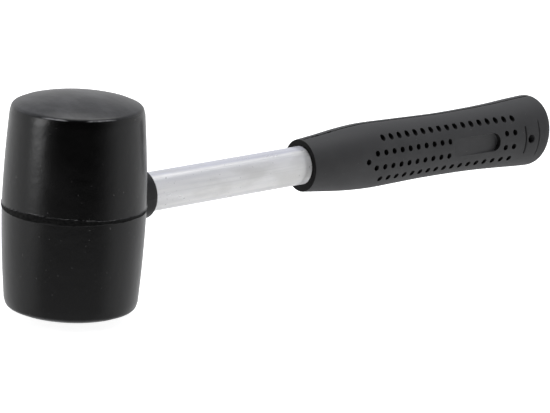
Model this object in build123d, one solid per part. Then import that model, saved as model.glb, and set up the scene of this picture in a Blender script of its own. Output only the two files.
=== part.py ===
from build123d import *
import math
import os

# Rubber mallet: a moulded rubber head on a plated steel tube, with a perforated rubber grip.
# Millimetres. The origin is the middle of the small flat on the lower striking face, +Z runs up
# the head's axis and +X runs along the handle to its butt. The +Y and -Y halves mirror each other.

# Head: a barrel that swells towards its middle, with a domed face at each end.
MID_RADIUS = 32.2
QUARTER_RADIUS = 31.4
RIM_RADIUS = 29.7
RIM_HEIGHT = 45.8  # from the middle to a face's rim
RIM_ROUND = 2.7
DOME_RISE = 5.0
FLAT_DEPTH = 0.2  # taken off the lower dome so that the head can stand on it

# Rib of rubber at the mould's parting plane, round the head and along the collar.
RIB_RADIUS = 32.6
RIB_LOW = -1.0
RIB_HIGH = 1.7
RIB_SLOPE = 0.5
COLLAR_RIB = 0.35

# Collar moulded on the head where the handle goes in.
COLLAR_RADIUS = 11.55
COLLAR_END_X = 39.75
COLLAR_ROUND = 0.9

# Handle tube, whose head end is buried in a blind socket.
TUBE_RADIUS = 9.0
TUBE_WALL = 1.2
TUBE_START_X = -20.0
TUBE_END_X = 272.0

# Wooden plug in the buried end, and the pin driven down across it.
PLUG_LENGTH = 34.0
PLUG_CHAMFER = 1.0
PIN_RADIUS = 2.0
PIN_LENGTH = 30.0
PIN_X = -8.0

# Plastic plug that closes the tube's other end, inside the grip.
END_PLUG_LENGTH = 12.0
END_PLUG_FLANGE = 1.8

# Grip: round sections along the handle, each (x, radius, drop below the tube's axis).
GRIP_SECTIONS = [
    (139.0, 12.4, 0.2),
    (152.0, 13.7, 0.5),
    (164.0, 14.9, 0.55),
    (178.0, 15.65, 0.6),
    (194.0, 15.45, 0.8),
    (211.0, 15.1, 1.0),
    (230.0, 14.95, 1.4),
    (250.0, 15.25, 1.7),
    (266.0, 15.9, 2.0),
    (281.0, 16.75, 2.15),
    (293.2, 17.3, 2.2),
]
GRIP_FRONT_ROUND = 0.5
BUTT_TILT = 5.0  # degrees, the top of the butt standing further out
GRIP_BUTT_ROUND = 4.0

# Perforations: blind holes on one grid, drawn straight out of each half of the mould.
HOLE_RADIUS = 1.35
HOLE_DEPTH = 3.4
HOLE_PITCH = 5.5
HOLE_FIRST_X = 174.3
PATTERN_RISE = 0.9  # of the pattern's middle above the section's centre
OUTER_ROW_RISE = 9.6
INNER_ROW_RISE = 3.4
OUTER_COLUMNS = range(1, 18)
INNER_COLUMNS = [*range(0, 10), 16, 17]
TIP_COLUMN = -1  # one hole on the middle line, ahead of the rows

# Blank label panel: a pocket between the inner rows, its flat floor sloping in towards the butt.
PANEL_START_X = 226.6
PANEL_END_X = 258.0
PANEL_HEIGHT = 9.1
PANEL_FLOOR = 14.5  # from the handle's middle plane, at the end nearer the head
PANEL_SLOPE = 2.4  # degrees
PANEL_ROUND = 3.4

# Hanging hole through the butt, and the grooves that bracket it, each (x, half length).
HANG_X = 278.8
HANG_RADIUS = 2.0
HANG_RISE = 0.3
GROOVES = [(275.3, 6.9), (283.9, 8.6)]
GROOVE_WIDTH = 0.9
GROOVE_DEPTH = 0.55

AXIS_Z = RIM_HEIGHT + DOME_RISE - FLAT_DEPTH  # height of the handle's axis
FAR = 60.0  # reaches past every side of the mallet


def along_x(radius, start, end):
    """Cylinder on the handle's axis from start to end."""
    body = Cylinder(radius, end - start, align=(Align.CENTER, Align.CENTER, Align.MIN))
    return Location((start, 0, AXIS_Z), (0, 90, 0)) * body


def barrel():
    """The head's barrel and both domes, before its collar and rib."""
    dome_radius = (RIM_RADIUS**2 + DOME_RISE**2) / (2 * DOME_RISE)
    half_span = math.asin(RIM_RADIUS / dome_radius) / 2
    mid_rise = DOME_RISE - dome_radius * (1 - math.cos(half_span))
    top = (0, RIM_HEIGHT + DOME_RISE)
    dome_mid = (dome_radius * math.sin(half_span), RIM_HEIGHT + mid_rise)
    rim = (RIM_RADIUS, RIM_HEIGHT)
    quarter = (QUARTER_RADIUS, RIM_HEIGHT / 2)

    def at(point, side):
        return (point[0], 0, AXIS_Z + side * point[1])

    outline = [Line(at(top, -1), at(top, 1))]
    for side in (1, -1):
        outline.append(ThreePointArc(at(top, side), at(dome_mid, side), at(rim, side)))
        wall_end = at((MID_RADIUS, 0), side)
        outline.append(ThreePointArc(at(rim, side), at(quarter, side), wall_end))
    body = revolve(make_face(Wire(outline)), Axis.Z)
    rims = [
        edge
        for edge in body.edges().filter_by(GeomType.CIRCLE)
        if abs(abs(edge.center().Z - AXIS_Z) - RIM_HEIGHT) < 0.1
    ]
    return fillet(rims, RIM_ROUND)


def rib():
    """Band round the head at the parting plane, with sloped edges."""
    inner = MID_RADIUS - 3
    foot = MID_RADIUS - 0.1
    points = [
        (inner, RIB_LOW - RIB_SLOPE),
        (foot, RIB_LOW - RIB_SLOPE),
        (RIB_RADIUS, RIB_LOW),
        (RIB_RADIUS, RIB_HIGH),
        (foot, RIB_HIGH + RIB_SLOPE),
        (inner, RIB_HIGH + RIB_SLOPE),
    ]
    outline = Polyline(*[(r, 0, AXIS_Z + z) for r, z in points], close=True)
    return revolve(make_face(outline), Axis.Z)


def make_pin():
    return Pos(PIN_X, 0, AXIS_Z) * Cylinder(PIN_RADIUS, PIN_LENGTH)


def make_head():
    collar = along_x(COLLAR_RADIUS, 0, COLLAR_END_X)
    collar = fillet(collar.faces().sort_by(Axis.X)[-1].edges(), COLLAR_ROUND)
    rib_reach = COLLAR_END_X - COLLAR_ROUND
    fin = Box(rib_reach, 2 * (COLLAR_RADIUS + COLLAR_RIB), 2 * COLLAR_RIB)
    head = barrel() + collar + rib() + Pos(rib_reach / 2, 0, AXIS_Z) * fin
    head -= Pos(0, 0, -FAR / 2) * Box(FAR, FAR, FAR)
    head -= along_x(TUBE_RADIUS, TUBE_START_X, FAR)
    return head - make_pin()


def make_tube():
    tube = along_x(TUBE_RADIUS, TUBE_START_X, TUBE_END_X)
    tube -= along_x(TUBE_RADIUS - TUBE_WALL, TUBE_START_X - 1, TUBE_END_X + 1)
    return tube - make_pin()


def make_head_plug():
    plug = along_x(TUBE_RADIUS - TUBE_WALL, TUBE_START_X, TUBE_START_X + PLUG_LENGTH)
    plug = chamfer(plug.faces().sort_by(Axis.X)[-1].edges(), PLUG_CHAMFER)
    return plug - make_pin()


def make_end_plug():
    stem = along_x(TUBE_RADIUS - TUBE_WALL, TUBE_END_X - END_PLUG_LENGTH, TUBE_END_X)
    return stem + along_x(TUBE_RADIUS, TUBE_END_X, TUBE_END_X + END_PLUG_FLANGE)


def section_at(x):
    """The grip's radius and the height of its section's centre at x."""
    for low, high in zip(GRIP_SECTIONS, GRIP_SECTIONS[1:]):
        if x <= high[0]:
            share = (x - low[0]) / (high[0] - low[0])
            radius = low[1] + share * (high[1] - low[1])
            drop = low[2] + share * (high[2] - low[2])
            return radius, AXIS_Z - drop


def grip_body():
    sections = []
    for x, radius, drop in GRIP_SECTIONS:
        tilt = BUTT_TILT if x == GRIP_SECTIONS[-1][0] else 0
        sections.append(Location((x, 0, AXIS_Z - drop), (0, 90 + tilt, 0)) * Circle(radius))
    body = loft(sections)
    body = fillet(body.faces().sort_by(Axis.X)[-1].edges(), GRIP_BUTT_ROUND)
    return fillet(body.faces().sort_by(Axis.X)[0].edges(), GRIP_FRONT_ROUND)


def both_sides(shape):
    return [shape, mirror(shape, Plane.XZ)]


def hole_pair(column, rise):
    """Blind holes at one place of the grid, on the -Y and +Y sides."""
    x = HOLE_FIRST_X + HOLE_PITCH * column
    radius, middle = section_at(x)
    floor = math.sqrt(radius**2 - rise**2) - HOLE_DEPTH
    hole = Cylinder(HOLE_RADIUS, FAR, align=(Align.CENTER, Align.CENTER, Align.MIN))
    return both_sides(Location((x, -floor, middle + rise), (90, 0, 0)) * hole)


def perforations():
    holes = hole_pair(TIP_COLUMN, PATTERN_RISE)
    for rise, columns in ((OUTER_ROW_RISE, OUTER_COLUMNS), (INNER_ROW_RISE, INNER_COLUMNS)):
        for column in columns:
            holes += hole_pair(column, PATTERN_RISE + rise)
            holes += hole_pair(column, PATTERN_RISE - rise)
    return holes


def label_panels():
    x = (PANEL_START_X + PANEL_END_X) / 2
    facing = Plane(origin=(x, 0, section_at(x)[1] + PATTERN_RISE), x_dir=(1, 0, 0), z_dir=(0, -1, 0))
    outline = RectangleRounded(PANEL_END_X - PANEL_START_X, PANEL_HEIGHT, PANEL_ROUND)
    pocket = extrude(facing * outline, FAR)
    outside = Box(2 * FAR, FAR, FAR, align=(Align.CENTER, Align.MAX, Align.CENTER))
    start = (PANEL_START_X, -PANEL_FLOOR, facing.origin.Z)
    return both_sides(pocket & Location(start, (0, 0, PANEL_SLOPE)) * outside)


def grooves():
    cuts = []
    for x, half_length in GROOVES:
        radius, middle = section_at(x)
        ring = Cylinder(radius + 2, GROOVE_WIDTH) - Cylinder(radius - GROOVE_DEPTH, GROOVE_WIDTH)
        window = Pos(x, -FAR / 2, middle) * Box(FAR, FAR, 2 * half_length)
        cuts += both_sides(Location((x, 0, middle), (0, 90, 0)) * ring & window)
    return cuts


def make_grip():
    grip = grip_body() - along_x(TUBE_RADIUS, GRIP_SECTIONS[0][0] - 1, TUBE_END_X + END_PLUG_FLANGE)
    middle = section_at(HANG_X)[1] + HANG_RISE
    hang = Location((HANG_X, 0, middle), (90, 0, 0)) * Cylinder(HANG_RADIUS, 2 * FAR)
    return grip - [*perforations(), *label_panels(), *grooves(), hang]


PARTS = {
    "head": make_head,
    "handle_tube": make_tube,
    "head_plug": make_head_plug,
    "retaining_pin": make_pin,
    "tube_end_plug": make_end_plug,
    "grip": make_grip,
}

os.makedirs("parts", exist_ok=True)
for name, make in PARTS.items():
    export_step(make(), f"parts/{name}.step")
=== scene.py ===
import math

import bmesh
import bpy
from mathutils import Matrix, Vector, noise


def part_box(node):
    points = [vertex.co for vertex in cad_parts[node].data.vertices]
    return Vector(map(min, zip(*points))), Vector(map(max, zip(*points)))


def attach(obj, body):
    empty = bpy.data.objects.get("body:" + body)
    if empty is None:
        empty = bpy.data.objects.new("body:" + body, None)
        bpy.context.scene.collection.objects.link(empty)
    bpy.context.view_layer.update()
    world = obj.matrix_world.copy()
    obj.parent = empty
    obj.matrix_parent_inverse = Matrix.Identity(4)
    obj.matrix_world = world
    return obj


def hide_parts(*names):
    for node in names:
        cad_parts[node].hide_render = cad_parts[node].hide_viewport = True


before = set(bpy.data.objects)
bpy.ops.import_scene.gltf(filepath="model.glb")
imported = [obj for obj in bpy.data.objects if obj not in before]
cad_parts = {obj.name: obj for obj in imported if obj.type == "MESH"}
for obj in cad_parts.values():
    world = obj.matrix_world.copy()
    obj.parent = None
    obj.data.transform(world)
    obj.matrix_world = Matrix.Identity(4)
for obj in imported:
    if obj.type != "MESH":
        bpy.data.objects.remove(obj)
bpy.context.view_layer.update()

# Rubber mallet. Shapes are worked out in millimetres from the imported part's boxes and written in metres.
MM = 0.001
tube_low, tube_high = (Vector(corner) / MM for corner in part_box("handle_tube"))
head_high = Vector(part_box("head")[1]) / MM
grip_low = Vector(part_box("grip")[0]) / MM
AXIS_Z = (tube_low.z + tube_high.z) / 2
TUBE_RADIUS = (tube_high.y - tube_low.y) / 2


def smooth(low, high, value):
    """0 below low, 1 above high, eased between."""
    share = min(max((value - low) / (high - low), 0.0), 1.0)
    return share * share * (3 - 2 * share)


def wander(*place):
    return noise.noise(Vector(place))


# ---------------------------------------------------------------- materials


class Nodes:
    """A new material with its Principled shader, and short calls that add nodes to it."""

    def __init__(self, name):
        self.material = bpy.data.materials.new(name)
        self.material.use_nodes = True
        self.tree = self.material.node_tree
        self.shader = self.tree.nodes["Principled BSDF"]
        self.place = self.tree.nodes.new("ShaderNodeTexCoord").outputs["Object"]

    def link(self, source, target):
        self.tree.links.new(source, target)

    def scaled(self, x, y, z):
        node = self.tree.nodes.new("ShaderNodeMapping")
        node.inputs["Scale"].default_value = (x, y, z)
        self.link(self.place, node.inputs["Vector"])
        return node.outputs["Vector"]

    def noise(self, place, scale, detail=3.0, rough=0.5):
        node = self.tree.nodes.new("ShaderNodeTexNoise")
        node.inputs["Scale"].default_value = scale
        node.inputs["Detail"].default_value = detail
        node.inputs["Roughness"].default_value = rough
        self.link(place, node.inputs["Vector"])
        return node.outputs["Fac"]

    def ramp(self, value, *stops):
        """Colour ramp; each stop is (position, grey or colour)."""
        node = self.tree.nodes.new("ShaderNodeValToRGB")
        elements = node.color_ramp.elements
        while len(elements) < len(stops):
            elements.new(0.5)
        for element, (position, colour) in zip(elements, stops):
            rgb = (colour,) * 3 if isinstance(colour, (int, float)) else colour
            element.position = position
            element.color = (*rgb, 1)
        self.link(value, node.inputs["Fac"])
        return node.outputs["Color"]

    def math(self, operation, a, b=0.0, c=0.5):
        node = self.tree.nodes.new("ShaderNodeMath")
        node.operation = operation
        for socket, value in zip(node.inputs, (a, b, c)):
            if isinstance(value, (int, float)):
                socket.default_value = value
            else:
                self.link(value, socket)
        return node.outputs["Value"]

    def blend(self, share, a, b, kind="MIX"):
        node = self.tree.nodes.new("ShaderNodeMix")
        node.data_type = "RGBA"
        node.blend_type = kind
        self.link(share, node.inputs["Factor"])
        for socket, value in ((node.inputs[6], a), (node.inputs[7], b)):
            if isinstance(value, tuple):
                socket.default_value = (*value, 1)
            else:
                self.link(value, socket)
        return node.outputs[2]

    def axis(self, name):
        node = self.tree.nodes.new("ShaderNodeSeparateXYZ")
        self.link(self.place, node.inputs["Vector"])
        return node.outputs[name]

    def toward(self, degrees, low, high):
        """1 on the side of the head at that angle about its axis, 0 elsewhere."""
        node = self.tree.nodes.new("ShaderNodeVectorMath")
        node.operation = "DOT_PRODUCT"
        turn = math.radians(degrees)
        node.inputs[1].default_value = (math.cos(turn), math.sin(turn), 0)
        self.link(self.place, node.inputs[0])
        return self.ramp(self.math("DIVIDE", node.outputs["Value"], 0.029), (low, 0.0), (high, 1.0))

    def bump(self, *layers):
        """Stacked bumps; each layer is (height, depth in millimetres)."""
        normal = None
        for height, depth in layers:
            node = self.tree.nodes.new("ShaderNodeBump")
            node.inputs["Distance"].default_value = depth * MM
            node.inputs["Strength"].default_value = 1.0
            self.link(height, node.inputs["Height"])
            if normal:
                self.link(normal, node.inputs["Normal"])
            normal = node.outputs["Normal"]
        self.link(normal, self.shader.inputs["Normal"])


def head_rubber():
    m = Nodes("head_rubber")
    cloud = m.noise(m.place, 55, 4)
    fine = m.noise(m.place, 1500, 2)
    dust = m.ramp(m.noise(m.place, 900, 1), (0.76, 0.0), (0.79, 1.0))
    worn = m.ramp(m.noise(m.scaled(1, 0.45, 1), 90, 5, 0.6), (0.45, 0.0), (0.7, 1.0))
    from_middle = m.math("ABSOLUTE", m.math("SUBTRACT", m.axis("Z"), AXIS_Z * MM))
    near_face = m.ramp(m.math("MULTIPLY_ADD", from_middle, 1000.0, -44.6), (0.0, 0.0), (0.9, 1.0))
    # Painted highlight: a light grey, broken line along the rim of the upper face, laid only on two sides
    # of the head.
    off_rim = m.math("ABSOLUTE", m.math("MULTIPLY_ADD", m.axis("Z"), 1000.0, -AXIS_Z - 45.05))
    rim = m.ramp(off_rim, (0.1, 1.0), (0.42, 0.0))
    broken = m.ramp(m.noise(m.place, 330, 3, 0.6), (0.36, 0.25), (0.55, 1.0))
    rim_highlight = m.math("MULTIPLY", rim, broken)
    patches = m.math("ADD", m.toward(209, 0.984, 0.997), m.toward(251, 0.978, 0.995))
    rim_highlight = m.math("MULTIPLY", rim_highlight, patches)
    scuff = m.math("MULTIPLY", worn, near_face)
    colour = m.ramp(cloud, (0.3, (0.001, 0.001, 0.001)), (0.7, (0.0022, 0.0021, 0.0022)))
    colour = m.blend(m.math("MULTIPLY", scuff, 0.6), colour, (0.075, 0.075, 0.08))
    colour = m.blend(m.math("MULTIPLY", rim_highlight, 0.8), colour, (0.3, 0.3, 0.31))
    colour = m.blend(m.math("MULTIPLY", dust, 0.35), colour, (0.16, 0.16, 0.155))
    m.link(colour, m.shader.inputs["Base Color"])
    dullness = m.math("ADD", m.math("MULTIPLY", cloud, 0.5), m.math("MULTIPLY", near_face, 0.35))
    m.link(m.ramp(dullness, (0.0, 0.18), (1.0, 0.44)), m.shader.inputs["Roughness"])
    m.shader.inputs["Specular IOR Level"].default_value = 0.44
    m.bump((cloud, 0.3), (m.noise(m.place, 260, 4, 0.6), 0.06), (fine, 0.012))
    return m.material


def torn_rubber():
    """The rough edge that is left where the flash was torn off."""
    m = Nodes("torn_rubber")
    coarse = m.noise(m.place, 900, 4, 0.65)
    m.link(m.ramp(coarse, (0.35, 0.001), (0.75, 0.009)), m.shader.inputs["Base Color"])
    m.link(m.ramp(coarse, (0.3, 0.75), (0.7, 0.5)), m.shader.inputs["Roughness"])
    m.shader.inputs["Specular IOR Level"].default_value = 0.1
    m.bump((coarse, 0.25))
    return m.material


def grip_rubber():
    m = Nodes("grip_rubber")
    cloud = m.noise(m.place, 70, 4)
    fine = m.noise(m.place, 2200, 2)
    dust = m.ramp(m.noise(m.place, 1000, 1), (0.76, 0.0), (0.79, 1.0))
    colour = m.ramp(cloud, (0.3, (0.0245, 0.0245, 0.0256)), (0.7, (0.039, 0.039, 0.0404)))
    colour = m.blend(m.math("MULTIPLY", dust, 0.3), colour, (0.2, 0.2, 0.19))
    m.link(colour, m.shader.inputs["Base Color"])
    m.link(m.ramp(cloud, (0.2, 0.55), (0.8, 0.68)), m.shader.inputs["Roughness"])
    m.bump((cloud, 0.15), (fine, 0.03))
    return m.material


def shaded_recess_rubber():
    """Painted shade: a darker copy of the grip's rubber for the insides of the holes, the pocket's end
    wall, the seam, the deepest grooves and the grip's front face.
    """
    m = Nodes("shaded_recess_rubber")
    grain = m.noise(m.place, 700, 3)
    m.link(m.ramp(grain, (0.3, 0.006), (0.7, 0.011)), m.shader.inputs["Base Color"])
    m.link(m.ramp(grain, (0.3, 0.7), (0.7, 0.85)), m.shader.inputs["Roughness"])
    m.shader.inputs["Specular IOR Level"].default_value = 0.15
    m.bump((grain, 0.04))
    return m.material


def plated_steel():
    m = Nodes("plated_steel")
    streak = m.noise(m.scaled(0.03, 1, 1), 420, 3, 0.6)
    cloud = m.noise(m.scaled(0.4, 1, 1), 110, 4)
    pits = m.ramp(m.noise(m.place, 620, 1), (0.73, 0.0), (0.765, 1.0))
    colour = m.ramp(streak, (0.35, (0.79, 0.79, 0.8)), (0.6, (0.9, 0.897, 0.895)))
    # Painted reflection: the colour is multiplied by bands set by height round the tube, bluish at the
    # bottom and top, with thin darker lines just above the middle and near the top.
    turn = m.math("MULTIPLY_ADD", m.math("SUBTRACT", m.axis("Z"), AXIS_Z * MM), 0.5 / (TUBE_RADIUS * MM))
    lower = ((0.0, (0.87, 0.87, 0.95)), (0.1, 0.94), (0.545, 1.0), (0.5585, 0.9), (0.572, 1.0))
    upper = ((0.9, 1.0), (0.915, 0.8), (0.925, 1.0), (0.95, 1.0), (0.965, (0.87, 0.88, 0.97)))
    lines = m.ramp(turn, *lower, *upper, (1.0, (0.84, 0.85, 0.95)))
    colour = m.blend(m.ramp(cloud, (0.2, 0.55), (0.8, 1.0)), colour, lines, "MULTIPLY")
    colour = m.blend(m.ramp(cloud, (0.48, 0.0), (0.66, 0.6)), colour, (0.66, 0.655, 0.64))
    colour = m.blend(m.math("MULTIPLY", pits, 0.6), colour, (0.4, 0.4, 0.4))
    m.link(colour, m.shader.inputs["Base Color"])
    m.link(m.ramp(cloud, (0.2, 0.24), (0.8, 0.38)), m.shader.inputs["Roughness"])
    # Less metallic next to the grip, so that its dark front isn't mirrored as a band.
    near_grip = m.math("MULTIPLY_ADD", m.axis("X"), 100.0, 1 - grip_low.x / 10)
    m.link(m.ramp(near_grip, (0.5, 0.65), (0.85, 0.02)), m.shader.inputs["Metallic"])
    m.bump((streak, 0.012), (cloud, 0.05))
    return m.material


def plain(name, low, high, rough, metallic=0.0, scale=(1, 1, 1)):
    """Mottled material for a piece sealed inside the mallet."""
    m = Nodes(name)
    grain = m.noise(m.scaled(*scale), 300, 4)
    m.link(m.ramp(grain, (0.3, low), (0.7, high)), m.shader.inputs["Base Color"])
    m.link(m.ramp(grain, (0.2, rough), (0.8, rough + 0.15)), m.shader.inputs["Roughness"])
    m.shader.inputs["Metallic"].default_value = metallic
    m.bump((grain, 0.05))
    return m.material


# ---------------------------------------------------------------- meshes


def skin(bm, rings, skip=()):
    """Joins closed rings of points with quads, and returns the rings' vertices. One point is a pole."""
    made = [[bm.verts.new(Vector(p) * MM) for p in ring] for ring in rings]
    for i, (a, b) in enumerate(zip(made, made[1:])):
        count = max(len(a), len(b))
        for j in range(count):
            k = (j + 1) % count
            if (i, j) in skip:
                continue
            if len(a) == 1:
                bm.faces.new((a[0], b[j], b[k]))
            elif len(b) == 1:
                bm.faces.new((a[j], b[0], a[k]))
            else:
                bm.faces.new((a[j], b[j], b[k], a[k]))
    return made


def to_object(name, bm, material):
    bmesh.ops.recalc_face_normals(bm, faces=bm.faces)
    mesh = bpy.data.meshes.new(name)
    bm.to_mesh(mesh)
    bm.free()
    mesh.materials.append(material)
    mesh.shade_smooth()
    piece = bpy.data.objects.new(name, mesh)
    bpy.context.scene.collection.objects.link(piece)
    return piece


def boolean(piece, tool, operation):
    modifier = piece.modifiers.new(operation, "BOOLEAN")
    modifier.operation = operation
    modifier.solver = "EXACT"
    modifier.object = tool
    evaluated = piece.evaluated_get(bpy.context.evaluated_depsgraph_get())
    piece.data = bpy.data.meshes.new_from_object(evaluated)
    piece.modifiers.clear()
    bpy.data.objects.remove(tool)


def stand_for(piece, node):
    piece.data.set_sharp_from_angle(angle=math.radians(38))
    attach(piece, "root")
    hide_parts(node)


def around_x(x, radius, count, drop=0.0, swell=None):
    """Ring of points about the handle's axis; its first point is at -Y."""
    ring = []
    for j in range(count):
        turn = 2 * math.pi * j / count
        r = radius + (swell(x, turn) if swell else 0.0)
        ring.append((x, -r * math.cos(turn), AXIS_Z - drop + r * math.sin(turn)))
    return ring


def arc(centre_a, centre_b, radius, start, end, steps):
    """Points (a, b) on an arc, angles in degrees."""
    points = []
    for i in range(steps + 1):
        turn = math.radians(start + (end - start) * i / steps)
        points.append((centre_a + radius * math.cos(turn), centre_b + radius * math.sin(turn)))
    return points


# ---------------------------------------------------------------- head

MID_RADIUS = 32.2
RIM_RADIUS = 29.7
RIM_HEIGHT = 45.8
RIM_ROUND = 2.7
DOME_RISE = 5.0
RIB_HEIGHT = head_high.y - MID_RADIUS
TORN_TURN = math.radians(-160)  # the side where the flash is widest
COLLAR_RADIUS = 11.55
COLLAR_START = 15.0  # inside the barrel
COLLAR_ROUND = 0.9
COLLAR_END = head_high.x


WALL_LEAN = 0.0149  # the barrel's slope at its middle
WALL_CURVE = 0.000875  # and how it grows towards the rims


def barrel_radius(z):
    return MID_RADIUS - WALL_LEAN * abs(z) - WALL_CURVE * z * z


def head_outline():
    """(radius, height) from the barrel's middle to the crown of the upper face."""
    dome = (RIM_RADIUS**2 + DOME_RISE**2) / (2 * DOME_RISE)
    crown = RIM_HEIGHT + DOME_RISE
    wall_lean = math.atan(WALL_LEAN + 2 * WALL_CURVE * RIM_HEIGHT)
    corner = Vector((RIM_RADIUS - RIM_ROUND * 1.03, RIM_HEIGHT - RIM_ROUND * 0.82))
    dome_lean = math.asin((RIM_RADIUS - RIM_ROUND) / dome)
    start = math.degrees(wall_lean)
    end = 90 - math.degrees(dome_lean)
    rounded = arc(corner.x, corner.y, RIM_ROUND, start, end, 8)
    points = []
    z = 0.0
    while z < rounded[0][1] - 0.3:
        points.append((barrel_radius(z), z))
        z += 0.16 if z < 2.6 else 1.6
    points += rounded
    turns = 14
    for i in range(1, turns + 1):
        turn = dome_lean * (1 - i / turns)
        points.append((dome * math.sin(turn), crown - dome * (1 - math.cos(turn))))
    return points


def rib(turn, z):
    """How far the torn rib of flash stands out of the barrel."""
    px, py = 32 * math.cos(turn), 32 * math.sin(turn)
    torn = smooth(0.55, 0.95, math.cos(turn - TORN_TURN))
    low = -0.75 - 0.45 * torn + 0.25 * wander(px / 9, py / 9, 2)
    high = 0.75 + 0.85 * torn + 0.35 * wander(px / 7, py / 7, 5)
    high += (0.1 + 0.3 * torn) * wander(px / 1.6, py / 1.6, 8)
    body = smooth(low - 0.3, low + 0.05, z) * (1 - smooth(high - 0.05, high + 0.2, z))
    lip = smooth(high - 0.7, high - 0.35, z)
    tear = 0.35 * max(0.0, wander(px / 1.3, py / 1.3, z / 0.8 + 3))
    lift = 0.62 + 0.3 * lip - tear + 0.12 * wander(px / 5, py / 5, 11)
    return RIB_HEIGHT * body * min(max(lift, 0.2), 1.0)


def build_head(material, torn):
    upper = head_outline()
    lower = [(r, -z) for r, z in upper[::-1][:-1]]
    count = 384
    rings = []
    for r, z in lower + upper:
        if r < 1e-6:
            rings.append([(0, 0, max(AXIS_Z + z, 0.0))])
            continue
        ring = []
        for j in range(count):
            turn = 2 * math.pi * j / count
            radius = r + (rib(turn, z) if abs(z) < 3 else 0)
            ring.append((radius * math.cos(turn), radius * math.sin(turn), max(AXIS_Z + z, 0.0)))
        rings.append(ring)
    bm = bmesh.new()
    skin(bm, rings)
    bmesh.ops.recalc_face_normals(bm, faces=bm.faces)
    for face in bm.faces:
        middle = face.calc_center_median() / MM
        z = middle.z - AXIS_Z
        lip = face.normal.z > 0.3
        if abs(z) < 3 and not lip and rib(math.atan2(middle.y, middle.x), z) > 0.2 * RIB_HEIGHT:
            face.material_index = 1
    head = to_object("mallet_head", bm, material)
    head.data.materials.append(torn)

    def fin(x, turn):
        away = abs(math.cos(turn))
        side = math.exp(-((1 - away) / 0.0006))
        short = smooth(COLLAR_END - 0.4, COLLAR_END - 1.2, x)
        return 0.34 * side * short * (0.8 + 0.4 * wander(x / 1.5, 0, 3))

    corner = (COLLAR_RADIUS - COLLAR_ROUND, COLLAR_END - COLLAR_ROUND)
    edge = [(x, r) for r, x in arc(*corner, COLLAR_ROUND, 0, 90, 6)]
    spans = [(COLLAR_START + i, COLLAR_RADIUS) for i in range(int(COLLAR_END - COLLAR_START - 1))]
    rings = [[(COLLAR_START, 0, AXIS_Z)]]
    rings += [around_x(x, r, 360, swell=fin) for x, r in spans + edge]
    rings += [around_x(COLLAR_END, r, 360) for r in (10.2, 9.6, 9.2, 8.0)]
    rings.append([(COLLAR_END, 0, AXIS_Z)])
    bm = bmesh.new()
    skin(bm, rings)
    boolean(head, to_object("collar", bm, material), "UNION")

    socket = [[(tube_low.x, 0, AXIS_Z)]]
    socket += [around_x(x, TUBE_RADIUS, 128) for x in (tube_low.x, COLLAR_END - 0.4)]
    socket += [around_x(COLLAR_END + ahead, TUBE_RADIUS + 0.3, 128) for ahead in (0.05, 4)]
    socket.append([(COLLAR_END + 4, 0, AXIS_Z)])
    bm = bmesh.new()
    skin(bm, socket)
    boolean(head, to_object("socket", bm, material), "DIFFERENCE")
    stand_for(head, "head")


# ---------------------------------------------------------------- tube


TUBE_WALL = 1.2
TUBE_CHAMFER = 0.15
END_PLUG_FLANGE = 1.8


def build_tube(material):
    start, end = tube_low.x, tube_high.x
    lengths = [start + (end - start) * i / 40 for i in range(1, 40)]
    profile = [(start, TUBE_RADIUS - TUBE_CHAMFER)]
    profile += [(x, TUBE_RADIUS) for x in (start + TUBE_CHAMFER, *lengths, end - TUBE_CHAMFER)]
    profile.append((end, TUBE_RADIUS - TUBE_CHAMFER))
    profile += [(end, TUBE_RADIUS - TUBE_WALL), (start, TUBE_RADIUS - TUBE_WALL), profile[0]]
    rings = [around_x(x, radius, 160) for x, radius in profile]
    bm = bmesh.new()
    skin(bm, rings)
    bmesh.ops.remove_doubles(bm, verts=bm.verts, dist=1e-6)
    stand_for(to_object("mallet_tube", bm, material), "handle_tube")


# ---------------------------------------------------------------- grip

# (x, radius, drop of the section's centre below the tube's axis)
GRIP_SECTIONS = [
    (grip_low.x - 0.6, 12.35, 0.2),
    (152.0, 13.7, 0.5),
    (164.0, 14.88, 0.55),
    (178.0, 15.63, 0.6),
    (194.0, 15.43, 0.8),
    (211.0, 15.08, 1.0),
    (230.0, 14.93, 1.4),
    (250.0, 15.25, 1.7),
    (266.0, 15.88, 2.0),
    (281.0, 16.75, 2.15),
    (293.2, 17.3, 2.2),
]
BUTT_TILT = math.tan(math.radians(5))  # the top of the butt stands further out
FRONT_ROUND = 0.3
FRONT_SKEW = 0.12  # the front face stands a little nearer the head on the -Y side
BUTT_ROUND = 4.0
HOLE_RADIUS = 1.35
HOLE_DEPTH = 3.4
SHALLOW_SHARE = 0.45  # of that depth, in the few holes that are shallower
MOUTH_ROUND = 0.18
HOLE_CELL = 2.0625  # half the length of the mesh patch round a hole
HOLE_CELL_TURN = 8.25  # half its width, in degrees
HOLE_PITCH = 5.5
HOLE_FIRST = 174.3
HOLE_LEAN = 0.029  # how far the columns slant, in millimetres for each degree round the grip
PATTERN_RISE = 1.05  # of the pattern's middle above the section's centre
PATTERN_TURN = 4  # roughly that rise, in degrees round the grip
OUTER_RISE = 9.6
INNER_RISE = 3.4
PANEL = (226.6, 258.0)
PANEL_HALF = 4.55
PANEL_CELL_TURN = 20  # half the width of the mesh patch round the panel, in degrees
HANG_X = 278.8
HANG_RADIUS = 2.0
HANG_RISE = 0.3
HANG_CELL = 2.7
GROOVES = ((275.3, 25.0, 0.85), (283.9, 31.0, 0.45))  # x, half span in degrees, depth


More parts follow.
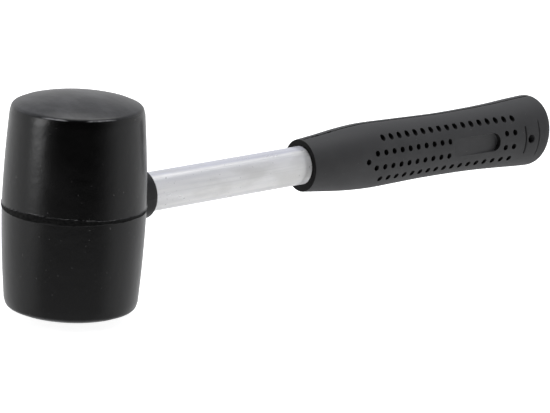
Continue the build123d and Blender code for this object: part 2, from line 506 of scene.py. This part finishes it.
def eased(x, which):
    """A column of GRIP_SECTIONS at x, on a smooth curve through the sections."""
    rows = GRIP_SECTIONS
    i = 0
    while i < len(rows) - 2 and x > rows[i + 1][0]:
        i += 1

    def slope(k):
        before, after = rows[max(k - 1, 0)], rows[min(k + 1, len(rows) - 1)]
        return (after[which] - before[which]) / (after[0] - before[0])

    x0, x1 = rows[i][0], rows[i + 1][0]
    span = x1 - x0
    t = (x - x0) / span
    a, b = rows[i][which], rows[i + 1][which]
    h = t * t * (3 - 2 * t)
    return a + (b - a) * h + span * ((t**3 - 2 * t**2 + t) * slope(i) + (t**3 - t**2) * slope(i + 1))


def lean(x, z):
    """How far along X the tilt of the butt moves a point."""
    end, _, drop = GRIP_SECTIONS[-1]
    return BUTT_TILT * (z - AXIS_Z + drop) * smooth(GROOVES[0][0] + 1, end, x)


def skew(x, y):
    """How far along X the skew of the front face moves a point."""
    start = GRIP_SECTIONS[0][0]
    return FRONT_SKEW * y * (1 - smooth(start + 0.5, start + 9, x))


def grip_radius(x):
    start, end = GRIP_SECTIONS[0][0], GRIP_SECTIONS[-1][0]
    radius = eased(x, 1)
    if x > end - BUTT_ROUND:
        inset = x - (end - BUTT_ROUND)
        radius -= BUTT_ROUND - math.sqrt(max(BUTT_ROUND**2 - inset**2, 0))
    if x < start + FRONT_ROUND:
        inset = start + FRONT_ROUND - x
        radius -= FRONT_ROUND - math.sqrt(max(FRONT_ROUND**2 - inset**2, 0))
    return radius


def groove_depth(x, degrees):
    depth = 0.0
    for side in (degrees, 180 - degrees):
        away = abs((side + 180) % 360 - 180)
        for groove_x, half_span, full in GROOVES:
            across = 1 - smooth(0.25, 0.55, abs(x - groove_x))
            depth = max(depth, full * across * (1 - smooth(half_span - 2.5, half_span, away)))
    return depth


def seam_depth(x, degrees):
    """The mould's parting line along the top and bottom."""
    away = min(abs(degrees - 90), abs(degrees - 270), abs(degrees + 90)) * math.pi / 180 * 15
    open_wide = smooth(143, 146, x) * (1 - smooth(159, 162, x))
    open_wide *= 0.75 + 0.9 * wander(x / 3, 7, 1)
    depth = 0.35 + 0.25 * wander(x / 6, 1, 4) + 0.6 * open_wide
    width = 1 + 0.5 * open_wide
    along = smooth(138.5, 140, x) * (1 - smooth(290, 293, x))
    return depth * (1 - smooth(0.2 * width, 0.55 * width, away)) * along


def grip_point(x, degrees, sink=0.0):
    """Point on the grip's surface; degrees are 0 at -Y and 90 at the top."""
    turn = math.radians(degrees)
    r = grip_radius(x) - sink - groove_depth(x, degrees) - seam_depth(x, degrees)
    z = AXIS_Z - eased(x, 2) + r * math.sin(turn)
    y = -r * math.cos(turn)
    return (x + lean(x, z) + skew(x, y), y, z)


def side_lines():
    """Angles of the grip's lengthwise mesh lines on the -Y side, from bottom to top."""
    upper = [2.5 + 2.75 * i for i in range(9)]
    upper += [27.25, 30.0] + [30 + 2.75 * i for i in range(1, 9)]
    upper += [56.0, 60.5, 65.0, 70.0, 75.0, 80.0, 84.0, 87.0, 88.4, 89.4]
    return [-a for a in reversed(upper)] + [0.0] + upper


def length_lines():
    start, end = GRIP_SECTIONS[0][0], GRIP_SECTIONS[-1][0]
    first = HOLE_FIRST - HOLE_PITCH - 2.75
    lines = [start + FRONT_ROUND + (first - start - FRONT_ROUND) * i / 24 for i in range(24)]
    lines += [first + HOLE_PITCH / 8 * i for i in range(int((273.6 - first) / HOLE_PITCH * 8) + 1)]
    near = (-0.75, -0.5, -0.35, -0.2, 0.0, 0.2, 0.35, 0.5)
    lines += [274.2] + [GROOVES[0][0] + step for step in near]
    lines += [HANG_X + HANG_CELL * i / 3 for i in range(-3, 4)] + [282.3]
    lines += [GROOVES[1][0] + step for step in (-1.0, *near, 0.75)]
    lines += [end - BUTT_ROUND - 0.9 * i for i in range(5, 0, -1)]
    return lines


class GripMesh:
    def __init__(self):
        self.bm = bmesh.new()
        side = side_lines()
        self.turns = side + [90.0] + [180 - a for a in reversed(side)] + [270.0]
        self.body = length_lines()
        self.skip = set()
        self.patches = []

    def column(self, x):
        return min(range(len(self.body)), key=lambda i: abs(self.body[i] - x))

    def row(self, degrees):
        wrapped = [abs((a - degrees + 180) % 360 - 180) for a in self.turns]
        return min(range(len(self.turns)), key=lambda j: wrapped[j])

    def open_patch(self, x0, x1, low, high, fill):
        """Leaves out the quads of a rectangle of the grid, to be filled by fill(its edge vertices)."""
        i0, i1, j0, j1 = self.column(x0), self.column(x1), self.row(low), self.row(high)
        for i in range(i0, i1):
            for j in range(j0, j1):
                self.skip.add((i, j))
        self.patches.append((i0, i1, j0, j1, fill))

    def finish(self):
        start, end = GRIP_SECTIONS[0][0], GRIP_SECTIONS[-1][0]
        count = len(self.turns)

        def ring(x, radius, drop):
            points = []
            for a in self.turns:
                z = AXIS_Z - drop + radius * math.sin(math.radians(a))
                y = -radius * math.cos(math.radians(a))
                points.append((x + lean(x, z) + skew(x, y), y, z))
            return points

        bore_end = tube_high.x + END_PLUG_FLANGE
        front = [[(bore_end, 0, AXIS_Z)], ring(bore_end, TUBE_RADIUS, 0)]
        front += [ring(bore_end - 5 * i, TUBE_RADIUS, 0) for i in range(1, 26)]
        for inset, wider in ((1.2, 0.02), (0.2, 0.02), (0.05, 0.2), (0.0, 1.2), (0.0, 2.4), (0.0, 2.95)):
            front.append(ring(start + inset, TUBE_RADIUS + wider, 0.05 * wider))
        for i in range(5):
            x = start + FRONT_ROUND * (1 - math.cos(math.radians(90 * i / 5)))
            front.append(ring(x, grip_radius(x), eased(x, 2)))
        offset = len(front)
        middle = [[grip_point(x, a) for a in self.turns] for x in self.body]
        butt = []
        for i in range(1, 12):
            turn = math.radians(90 * i / 11)
            points = []
            for a in self.turns:
                rounding = 3.3 - 0.9 * math.sin(math.radians(a)) + 0.75 * math.cos(math.radians(a)) ** 4
                x = end - rounding * (1 - math.sin(turn)) - 0.4 * i / 11
                radius = eased(x, 1) - rounding * (1 - math.cos(turn))
                z = AXIS_Z - eased(x, 2) + radius * math.sin(math.radians(a))
                points.append((x + lean(x, z), -radius * math.cos(math.radians(a)), z))
            butt.append(points)
        face = GRIP_SECTIONS[-1][1] - BUTT_ROUND
        for share in (0.75, 0.5, 0.25):
            butt.append(ring(end - 0.4 * share**2, face * share, GRIP_SECTIONS[-1][2]))
        butt.append([(end, 0, AXIS_Z - GRIP_SECTIONS[-1][2])])
        skip = {(i + offset, j) for i, j in self.skip}
        made = skin(self.bm, front + middle + butt, skip)
        for i0, i1, j0, j1, fill in self.patches:
            edge = [made[offset + i][j0] for i in range(i0, i1)]
            edge += [made[offset + i1][j] for j in range(j0, j1)]
            edge += [made[offset + i][j1] for i in range(i1, i0, -1)]
            edge += [made[offset + i0][j] for j in range(j1, j0, -1)]
            fill(self.bm, edge)
        return self.bm

    def add_loop(self, previous, points, painted_shade=False):
        """Quads from one loop to the next; the third argument says, or tests by point, which quads take the
        darker material of painted shade.
        """
        made = [self.bm.verts.new(Vector(p) * MM) for p in points]
        count = len(made)
        for j in range(count):
            k = (j + 1) % count
            face = self.bm.faces.new((previous[j], made[j], made[k], previous[k]))
            face.material_index = int(painted_shade(points[j]) if callable(painted_shade) else painted_shade)
        return made


def side_point(x, z, side, sink=0.0):
    """Point on the -Y (side -1) or +Y surface at x and height z, pushed in along Y by sink."""
    centre = AXIS_Z - eased(x, 2)
    r = grip_radius(x)
    y = math.sqrt(max(r * r - (z - centre) ** 2, 0.01))
    return (x, side * (y - sink), z)


def drill(grip, x, rise, side):
    """Adds a hole drawn along Y, with a rounded mouth, at x and rise above the section's centre."""
    centre_z = AXIS_Z - eased(x, 2) + rise
    around = math.degrees(math.asin(rise / grip_radius(x)))
    depth = HOLE_DEPTH * (SHALLOW_SHARE if wander(x, rise, side * 3.7) > 0.42 else 1.0)
    low, high = around - HOLE_CELL_TURN, around + HOLE_CELL_TURN
    x += HOLE_LEAN * (around - PATTERN_TURN)
    if side > 0:
        low, high = 180 - high, 180 - low

    def fill(bm, edge):
        turns = [math.atan2(v.co.z / MM - centre_z, v.co.x / MM - x) for v in edge]

        def loop(r, sink, flat=None):
            points = []
            for turn in turns:
                px, pz = x + r * math.cos(turn), centre_z + r * math.sin(turn)
                point = side_point(px, pz, side, sink)
                points.append(point if flat is None else (px, side * flat, pz))
            return points

        # From the mouth's last ring inwards, the hole's wall and floor take the darker material: painted
        # shade.
        current = grip.add_loop(edge, loop(HOLE_RADIUS + MOUTH_ROUND * 1.6, 0.0))
        for degrees in (0, 22, 45, 68, 90):
            turn = math.radians(degrees)
            mouth = HOLE_RADIUS + MOUTH_ROUND * (1 - math.sin(turn))
            current = grip.add_loop(current, loop(mouth, MOUTH_ROUND * (1 - math.cos(turn))), degrees == 90)
        floor = abs(side_point(x, centre_z, side)[1]) - depth
        current = grip.add_loop(current, loop(HOLE_RADIUS * 0.99, 0, floor + 0.35), True)
        current = grip.add_loop(current, loop(HOLE_RADIUS * 0.75, 0, floor), True)
        bm.faces.new(current).material_index = 1

    grip.open_patch(x - HOLE_CELL, x + HOLE_CELL, low, high, fill)


def build_grip(material, painted_shade):
    grip = GripMesh()
    holes = [(-1, 0.0)]
    for column in range(1, 18):
        holes += [(column, OUTER_RISE), (column, -OUTER_RISE)]
    for column in [*range(0, 10), 16, 17]:
        holes += [(column, INNER_RISE), (column, -INNER_RISE)]
    for side in (-1, 1):
        for column, rise in holes:
            drill(grip, HOLE_FIRST + HOLE_PITCH * column, PATTERN_RISE + rise, side)
        panel(grip, side)
    hang(grip)
    bm = grip.finish()
    bmesh.ops.recalc_face_normals(bm, faces=bm.faces)
    for face in bm.faces:
        middle = face.calc_center_median() / MM
        x = middle.x - lean(middle.x, middle.z)
        # Painted shade: the front face, the seam and the deepest parts of the grooves take the darker
        # material.
        if face.normal.x < -0.9 and x < GRIP_SECTIONS[0][0] + 2:
            face.material_index = 1
        if GRIP_SECTIONS[0][0] + 1.5 < x < GRIP_SECTIONS[-1][0] - 1:
            across, above = -middle.y, middle.z - AXIS_Z + eased(x, 2)
            degrees = math.degrees(math.atan2(above, across))
            outside = math.hypot(across, above) > grip_radius(x) - 1.6
            if outside and (seam_depth(x, degrees) > 0.2 or groove_depth(x, degrees) > 0.47):
                face.material_index = 1
    piece = to_object("mallet_grip", bm, material)
    piece.data.materials.append(painted_shade)
    stand_for(piece, "grip")


def panel(grip, side):
    """Recessed blank label, shallow towards the head and deep at its butt end."""
    mid = sum(PANEL) / 2
    half_length = (PANEL[1] - PANEL[0]) / 2

    def floor_sink(x, v):
        along = max(0.0, (x - PANEL[0]) / (PANEL[1] - PANEL[0]))
        return max(0.06, 0.6 + 1.75 * along**1.6 - v * v / 30.4)

    def fill(bm, edge):
        flat = []
        for v in edge:
            x, y, z = v.co / MM
            centre = AXIS_Z - eased(x, 2)
            flat.append((x, math.degrees(math.asin((z - centre) / grip_radius(x)))))
        arc_scale = math.radians(1) * 15.2
        tilt = PATTERN_RISE / arc_scale

        def loop(inset, sink_share):
            a, b = half_length - inset, PANEL_HALF - inset
            points = []
            for x, degrees in flat:
                corner = max((4.3 if x > mid else 3.2) - inset, 0.25)
                u, v = x - mid, (degrees - tilt) * arc_scale
                core_u = min(max(u, -(a - corner)), a - corner)
                core_v = min(max(v, -(b - corner)), b - corner)
                away = Vector((u - core_u, v - core_v))
                away = away.normalized() * corner if away.length > 1e-9 else Vector((0, 0))
                px, pv = mid + core_u + away.x, core_v + away.y
                turn = pv / arc_scale + tilt
                if side > 0:
                    turn = 180 - turn
                points.append(grip_point(px, turn, floor_sink(px, pv) * sink_share))
            return points

        current = grip.add_loop(edge, loop(-0.3, 0.0))
        rim = ((-0.05, 0.0), (0.02, 0.05), (0.09, 0.95))
        flat_floor = [(inset, 1.0) for inset in (0.2, 0.8, 1.6, 2.4, 3.2, 4.0)]
        for inset, share in (*rim, *flat_floor):
            # The wall at the pocket's deep butt end takes the darker material: painted shade.
            shaded_end_wall = (lambda point: point[0] > PANEL[1] - 3.2) if inset == 0.09 else False
            current = grip.add_loop(current, loop(inset, share), shaded_end_wall)
        bm.faces.new(current)

    low, high = PATTERN_TURN - PANEL_CELL_TURN, PATTERN_TURN + PANEL_CELL_TURN
    if side > 0:
        low, high = 180 - high, 180 - low
    grip.open_patch(PANEL[0] - 1.4, PANEL[1] + 1.4, low, high, fill)


def hang(grip):
    """The hanging hole, right through the butt."""
    ends = []
    for side in (-1, 1):

        def fill(bm, edge, side=side):
            centre_z = AXIS_Z - eased(HANG_X, 2) + HANG_RISE
            turns = [math.atan2(v.co.z / MM - centre_z, v.co.x / MM - HANG_X) for v in edge]
            current = edge
            for wider, sink in ((0.35, 0.0), (0.25, 0.0), (0.1, 0.08), (0.02, 0.2), (0.0, 0.5)):
                r = HANG_RADIUS + wider
                points = []
                for turn in turns:
                    x, z = HANG_X + r * math.cos(turn), centre_z + r * math.sin(turn)
                    points.append(side_point(x, z, side, sink))
                current = grip.add_loop(current, points)
            ends.append((current, turns))
            if len(ends) == 2:
                join_loops(bm, ends[0][0], ends[1][0])

        facing = 0 if side < 0 else 180
        low, high = facing - HOLE_CELL_TURN, facing + HOLE_CELL_TURN
        grip.open_patch(HANG_X - HANG_CELL, HANG_X + HANG_CELL, low, high, fill)


def join_loops(bm, a, b):
    """Tube of quads between two facing loops with the same number of vertices."""

    def opposite(v):
        return min(b, key=lambda other: (other.co.x - v.co.x) ** 2 + (other.co.z - v.co.z) ** 2)

    for j in range(len(a)):
        k = (j + 1) % len(a)
        bm.faces.new((a[j], opposite(a[j]), opposite(a[k]), a[k]))


# ---------------------------------------------------------------- build


build_head(head_rubber(), torn_rubber())
build_tube(plated_steel())
build_grip(grip_rubber(), shaded_recess_rubber())

hidden = {
    "head_plug": plain("plug_wood", (0.42, 0.26, 0.13), (0.58, 0.4, 0.22), 0.6, scale=(0.1, 1, 1)),
    "retaining_pin": plain("pin_steel", (0.45, 0.45, 0.46), (0.6, 0.6, 0.61), 0.3, 1.0),
    "tube_end_plug": plain("end_plug_plastic", (0.035, 0.035, 0.035), (0.05, 0.05, 0.05), 0.5),
}
for node, material in hidden.items():
    target = bpy.data.objects[node]
    for slot in target.material_slots:
        slot.material = material

# ---------------------------------------------------------------- stage

bpy.ops.mesh.primitive_plane_add(size=30, location=(0, 0, -0.0002))
floor = bpy.context.object
floor.name = "floor"
floor.visible_glossy = False
ground = bpy.data.materials.new("floor")
ground.use_nodes = True
ground_shader = ground.node_tree.nodes["Principled BSDF"]
ground_shader.inputs["Base Color"].default_value = (0.8, 0.8, 0.8, 1)
ground_shader.inputs["Roughness"].default_value = 1.0
ground_shader.inputs["Specular IOR Level"].default_value = 0.0
ground_shader.inputs["Emission Color"].default_value = (1, 1, 1, 1)
ground_shader.inputs["Emission Strength"].default_value = 0.9
floor.data.materials.append(ground)

# Soft surroundings: white all round, falling off towards the side the camera stands on, a little
# lighter again low down there, tinted overhead, with one bright soft window on the left.
CAMERA_SIDE = Vector((-0.65, -0.76, 0.25)).normalized()
WINDOW = Vector((-0.956, 0.292, 0.0))


class Surroundings(Nodes):
    def __init__(self, name):
        world = bpy.data.worlds.new(name)
        bpy.context.scene.world = world
        world.use_nodes = True
        self.tree = world.node_tree
        self.shader = self.tree.nodes["Background"]
        self.place = self.tree.nodes.new("ShaderNodeTexCoord").outputs["Generated"]

    def along(self, direction):
        node = self.tree.nodes.new("ShaderNodeVectorMath")
        node.operation = "DOT_PRODUCT"
        node.inputs[1].default_value = direction
        self.link(self.place, node.inputs[0])
        return node.outputs["Value"]

    def rise(self, value, low, high):
        """0 at low to 1 at high, eased."""
        node = self.tree.nodes.new("ShaderNodeMapRange")
        node.interpolation_type = "SMOOTHSTEP"
        node.inputs["From Min"].default_value = low
        node.inputs["From Max"].default_value = high
        self.link(value, node.inputs["Value"])
        return node.outputs["Result"]


def build_surroundings():
    sky = Surroundings("studio")
    facing = sky.math("MULTIPLY_ADD", sky.along(CAMERA_SIDE), 0.5)
    level = sky.ramp(facing, (0.2, 0.84), (0.42, 0.8), (0.62, 0.7), (0.84, 0.13), (0.93, 0.01))
    height = sky.along((0, 0, 1))
    lid = sky.rise(height, 0.15, 0.7)
    level = sky.math("MULTIPLY", level, sky.math("SUBTRACT", 1.0, sky.math("MULTIPLY", lid, 0.2)))
    base = sky.rise(height, -0.35, -0.7)
    level = sky.math("MULTIPLY", level, sky.math("SUBTRACT", 1.0, sky.math("MULTIPLY", base, 0.3)))
    under = sky.math("MULTIPLY", sky.rise(height, -0.1, -0.42), 0.42)
    level = sky.math("MAXIMUM", level, under)
    beside = sky.math("ABSOLUTE", sky.along((WINDOW.y, -WINDOW.x, 0)))
    window = sky.math("MULTIPLY", sky.rise(beside, 0.26, 0.09), sky.rise(height, -0.18, -0.04))
    window = sky.math("MULTIPLY", window, sky.rise(height, 0.5, 0.2))
    window = sky.math("MULTIPLY", window, sky.rise(sky.along(WINDOW), 0.4, 0.6))
    level = sky.math("ADD", level, sky.math("MULTIPLY", window, 3.6))
    sky.link(sky.blend(lid, (0.985, 0.99, 1.0), (0.92, 0.935, 1.0)), sky.shader.inputs["Color"])
    sky.link(level, sky.shader.inputs["Strength"])


def soft_box(name, place, aim, width, height, power, colour=(1, 1, 1)):
    light = bpy.data.lights.new(name, "AREA")
    light.shape = "RECTANGLE"
    light.size, light.size_y = width, height
    light.energy = power
    light.color = colour
    holder = bpy.data.objects.new(name, light)
    holder.location = place
    holder.rotation_euler = (Vector(aim) - Vector(place)).to_track_quat("-Z", "Y").to_euler()
    bpy.context.scene.collection.objects.link(holder)


build_surroundings()
target = (0.0, 0.0, 0.05)
soft_box("left_box", (-2.37, 0.35, 0.9), target, 0.5, 1.2, 2, (1.0, 0.96, 0.93))
soft_box("overhead", (0.4, 0.2, 2.2), (0.1, 0, 0), 1.8, 1.8, 26)

# A long lens, turned about a point below the grip.
CAMERA_TARGET = Vector((123.534, 0.0, AXIS_Z - 17.865))
CAMERA_DISTANCE = 1861.76
CAMERA_TURN = -133.9264  # degrees, of its place about the target
CAMERA_RISE = 14.2823
CAMERA_ROLL = 2.8605

camera_data = bpy.data.cameras.new("camera")
camera_data.sensor_fit = "HORIZONTAL"
camera_data.sensor_width = 36
camera_data.lens = 261.9
camera_data.clip_end = 50
camera = bpy.data.objects.new("camera", camera_data)
aim = Matrix.Rotation(math.radians(CAMERA_TURN + 90), 4, "Z")
aim = aim @ Matrix.Rotation(math.radians(90 - CAMERA_RISE), 4, "X")
aim = aim @ Matrix.Rotation(math.radians(CAMERA_ROLL), 4, "Z")
spot = CAMERA_TARGET * MM + aim.col[2].xyz * CAMERA_DISTANCE * MM
camera.matrix_world = Matrix.Translation(spot) @ aim
bpy.context.scene.collection.objects.link(camera)
bpy.context.scene.camera = camera
bpy.context.scene.view_settings.view_transform = "Standard"
